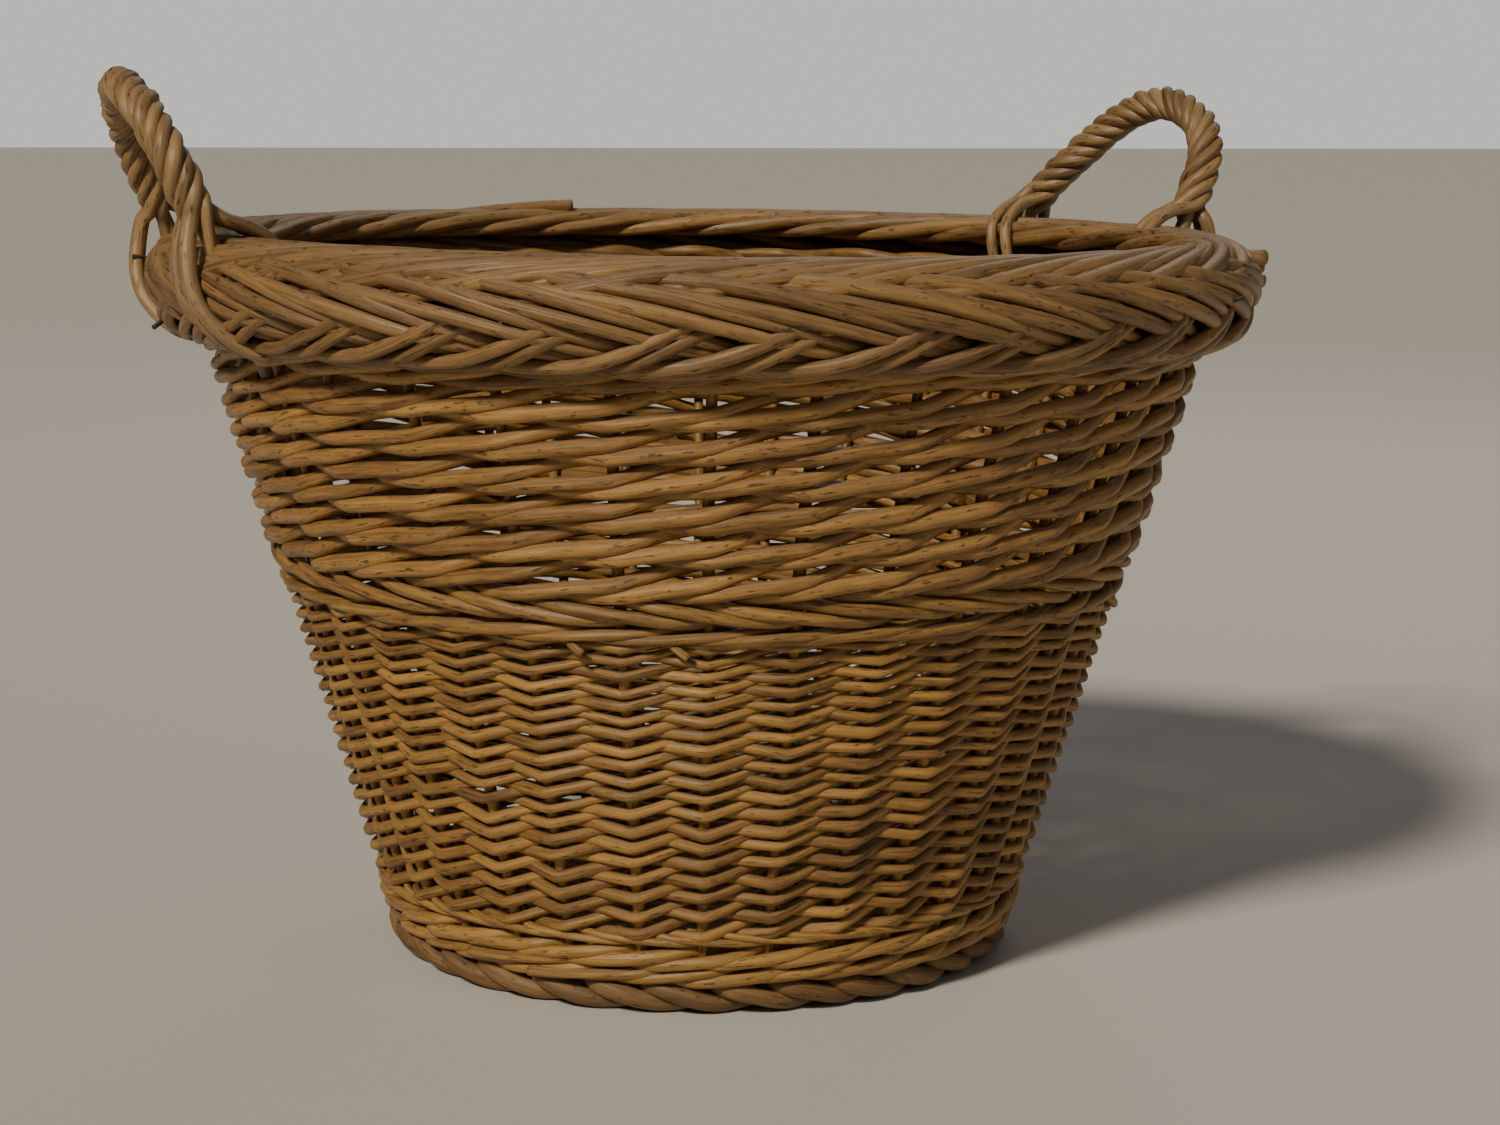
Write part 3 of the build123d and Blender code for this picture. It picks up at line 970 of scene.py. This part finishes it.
def inward_shade_mask(nodes):
    """Mask of the painted shade: 1 where a face looks towards the basket's axis and 0 where it
    looks away.
    """
    across = nodes.maths("MULTIPLY", nodes.place[0], nodes.facing[0])
    other = nodes.maths("MULTIPLY", nodes.place[1], nodes.facing[1])
    across = nodes.maths("ADD", nodes.maths("ADD", across, other), 0.5)
    return nodes.ramp(across, (0.5 - INNER_EDGE, 0.5), WHITE, BLACK)


# The fifth argument sets the dust and painted sheen on upper sides, the sixth the painted shade
# on faces that look into the basket.
def willow(name, dark, light, rough, worn_and_sheen=0.25, inner=0.0):
    """Bark-buff willow: grain and patches along each rod, dark flecks, upper sides greyed by
    dust and a painted sheen, and painted shade on the faces that look into the basket.
    """
    material = bpy.data.materials.new(name)
    material.use_nodes = True
    tree = material.node_tree
    tree.nodes.clear()
    nodes = Nodes(tree)
    grain = nodes.noise(*GRAIN)
    patch = nodes.noise(*PATCHES)
    color = nodes.ramp(bark_tone(nodes, grain, patch), TONE_SPAN, dark, light)
    # dust and painted sheen: faces that look up are mixed toward a grey-taupe colour
    upward_dust_and_sheen = nodes.ramp(nodes.facing[2], DUST_AND_SHEEN_SPAN, BLACK, WHITE)
    color = nodes.mixed("MIX", nodes.maths("MULTIPLY", upward_dust_and_sheen, worn_and_sheen), color, DUST_AND_SHEEN)
    # painted shade: faces that look into the basket are darkened by multiplying
    inward = nodes.maths("MULTIPLY", inward_shade_mask(nodes), inner)
    color = nodes.mixed("MULTIPLY", inward, color, INNER_SHADE)
    spots = nodes.ramp(nodes.noise(*SPOTS), SPOT_SPAN, BLACK, WHITE)
    color = nodes.mixed("MIX", nodes.maths("MULTIPLY", spots, SPOT_STRENGTH), color, FLECK)
    bump = nodes.new("Bump")
    bump.inputs["Strength"].default_value = BUMP_STRENGTH
    bump.inputs["Distance"].default_value = BUMP_HEIGHT
    nodes.give(bump.inputs["Height"], nodes.maths("ADD", grain, patch))
    change = nodes.maths("MULTIPLY", patch, ROUGHNESS_CHANGE)
    roughness = nodes.maths("ADD", change, rough - ROUGHNESS_SHIFT)
    shader = nodes.new("BsdfPrincipled")
    nodes.give(shader.inputs["Base Color"], color)
    nodes.give(shader.inputs["Roughness"], roughness)
    nodes.give(shader.inputs["Normal"], bump.outputs[0])
    nodes.give(nodes.new("OutputMaterial").inputs[0], shader.outputs[0])
    return material


# --- stage --------------------------------------------------------------------

CAMERA_TURN = math.radians(-26.55)     # from looking along the y axis
CAMERA_PLACE = Vector((21.4, -1393.0, 384.8)) * MM
CAMERA_PITCH = math.radians(8.77)
CAMERA_ROLL = math.radians(0.67)
CAMERA_LENS = 74.98
LAMP_AIM = Vector((0, 0, 0.18))        # the middle of the basket
SUN_HEADING = (1.1, 1.9, -1.75)        # to the right, away from the camera and down
SUN_SIZE = math.radians(9)
SUN_STRENGTH = 2.9
SUN_COLOR = (1.0, 0.90, 0.75)
DIM_LEVEL = 0.07                       # of the surroundings, as they light the basket
BRIGHT_LEVEL = 0.75                    # and as the camera sees them
FLOOR_COLOR = (0.60, 0.58, 0.54, 1)
FLOOR_ROUGHNESS = 0.8
FLOOR_SIZE = 30
ROOM_COLOR = (0.90, 0.88, 0.84, 1)     # its light on the basket
ROOM_LOOK = (0.90, 0.89, 0.86, 1)      # its colour to the camera


def camera():
    """The camera at the photograph's viewing angle."""
    data = bpy.data.cameras.new("camera")
    data.lens = CAMERA_LENS
    data.sensor_width = 36
    eye = bpy.data.objects.new("camera", data)
    bpy.context.scene.collection.objects.link(eye)
    turn = Matrix.Rotation(CAMERA_TURN, 4, "Z")
    tilt = Matrix.Rotation(math.pi / 2 - CAMERA_PITCH, 4, "X")
    roll = Matrix.Rotation(CAMERA_ROLL, 4, "Z")
    eye.matrix_world = turn @ Matrix.Translation(CAMERA_PLACE) @ tilt @ roll
    bpy.context.scene.camera = eye


def area_light(name, place, size, power, color):
    """A soft square lamp aimed at the middle of the basket; place is seen from the camera."""
    data = bpy.data.lights.new(name, "AREA")
    data.size = size
    data.energy = power
    data.color = color
    lamp = bpy.data.objects.new(name, data)
    bpy.context.scene.collection.objects.link(lamp)
    lamp.location = Matrix.Rotation(CAMERA_TURN, 4, "Z") @ Vector(place)
    aim = LAMP_AIM - lamp.location
    lamp.rotation_euler = aim.to_track_quat("-Z", "Y").to_euler()


def main_light():
    """A wide sun lamp over the camera's left shoulder, as even over the floor as daylight."""
    sun = bpy.data.lights.new("sun", "SUN")
    sun.energy = SUN_STRENGTH
    sun.angle = SUN_SIZE
    sun.color = SUN_COLOR
    lamp = bpy.data.objects.new("sun", sun)
    bpy.context.scene.collection.objects.link(lamp)
    toward = Matrix.Rotation(CAMERA_TURN, 4, "Z") @ Vector(SUN_HEADING)
    lamp.rotation_euler = toward.to_track_quat("-Z", "Y").to_euler()


def surroundings():
    """A pale room that the camera sees, and that lights the basket only dimly."""
    world = bpy.data.worlds.new("world")
    bpy.context.scene.world = world
    world.use_nodes = True
    tree = world.node_tree
    dim = tree.nodes["Background"]
    dim.inputs[0].default_value = ROOM_COLOR
    dim.inputs[1].default_value = DIM_LEVEL
    bright = tree.nodes.new("ShaderNodeBackground")
    bright.inputs[0].default_value = ROOM_LOOK
    bright.inputs[1].default_value = BRIGHT_LEVEL
    path = tree.nodes.new("ShaderNodeLightPath")
    mix = tree.nodes.new("ShaderNodeMixShader")
    tree.links.new(path.outputs["Is Camera Ray"], mix.inputs[0])
    tree.links.new(dim.outputs[0], mix.inputs[1])
    tree.links.new(bright.outputs[0], mix.inputs[2])
    tree.links.new(mix.outputs[0], tree.nodes["World Output"].inputs[0])


def floor():
    bpy.ops.mesh.primitive_plane_add(size=FLOOR_SIZE)
    ground = bpy.context.object
    ground.name = "floor"
    material = bpy.data.materials.new("pale_floor")
    material.use_nodes = True
    shader = material.node_tree.nodes["Principled BSDF"]
    shader.inputs["Base Color"].default_value = FLOOR_COLOR
    shader.inputs["Roughness"].default_value = FLOOR_ROUGHNESS
    ground.data.materials.append(material)


# --- making -------------------------------------------------------------------

camera()
main_light()
area_light("fill", (1.9, -1.5, 1.15), size=1.1, power=4, color=(1.0, 0.96, 0.90))
area_light("back", (0.6, 2.0, 1.9), size=1.5, power=7, color=(1.0, 0.98, 0.95))
surroundings()
floor()
# the lower and upper siding carry painted shade on the faces that look into the basket
LOWER = willow("willow_lower_bark", (0.100, 0.041, 0.007), (0.50, 0.272, 0.064), 0.40, inner=0.3)
UPPER = willow("willow_upper_bark", (0.106, 0.044, 0.008), (0.53, 0.290, 0.078), 0.40, inner=0.3)
WALE = willow("willow_wale_bark", (0.096, 0.040, 0.007), (0.50, 0.278, 0.068), 0.40)
RIM = willow("willow_border_bark", (0.082, 0.036, 0.010), (0.42, 0.240, 0.078), 0.38, 0.6)
FOOT = willow("willow_foot_bark", (0.066, 0.031, 0.009), (0.31, 0.172, 0.056), 0.5)
TWIG = willow("willow_twig_bark", (0.012, 0.010, 0.006), (0.045, 0.035, 0.018), 0.6)
ROPE = willow("willow_rope_bark", (0.095, 0.048, 0.017), (0.40, 0.250, 0.105), 0.38, 0.3)
lower_siding(LOWER)
upper_siding(UPPER)
middle_wale(WALE)
upsett_wale(WALE)
stakes(LOWER)
top_border(RIM)
border_twigs(TWIG)
foot_border(FOOT)
base_sticks(WALE)
base_weave(WALE)
handle("right", ROPE)
handle("left", ROPE)
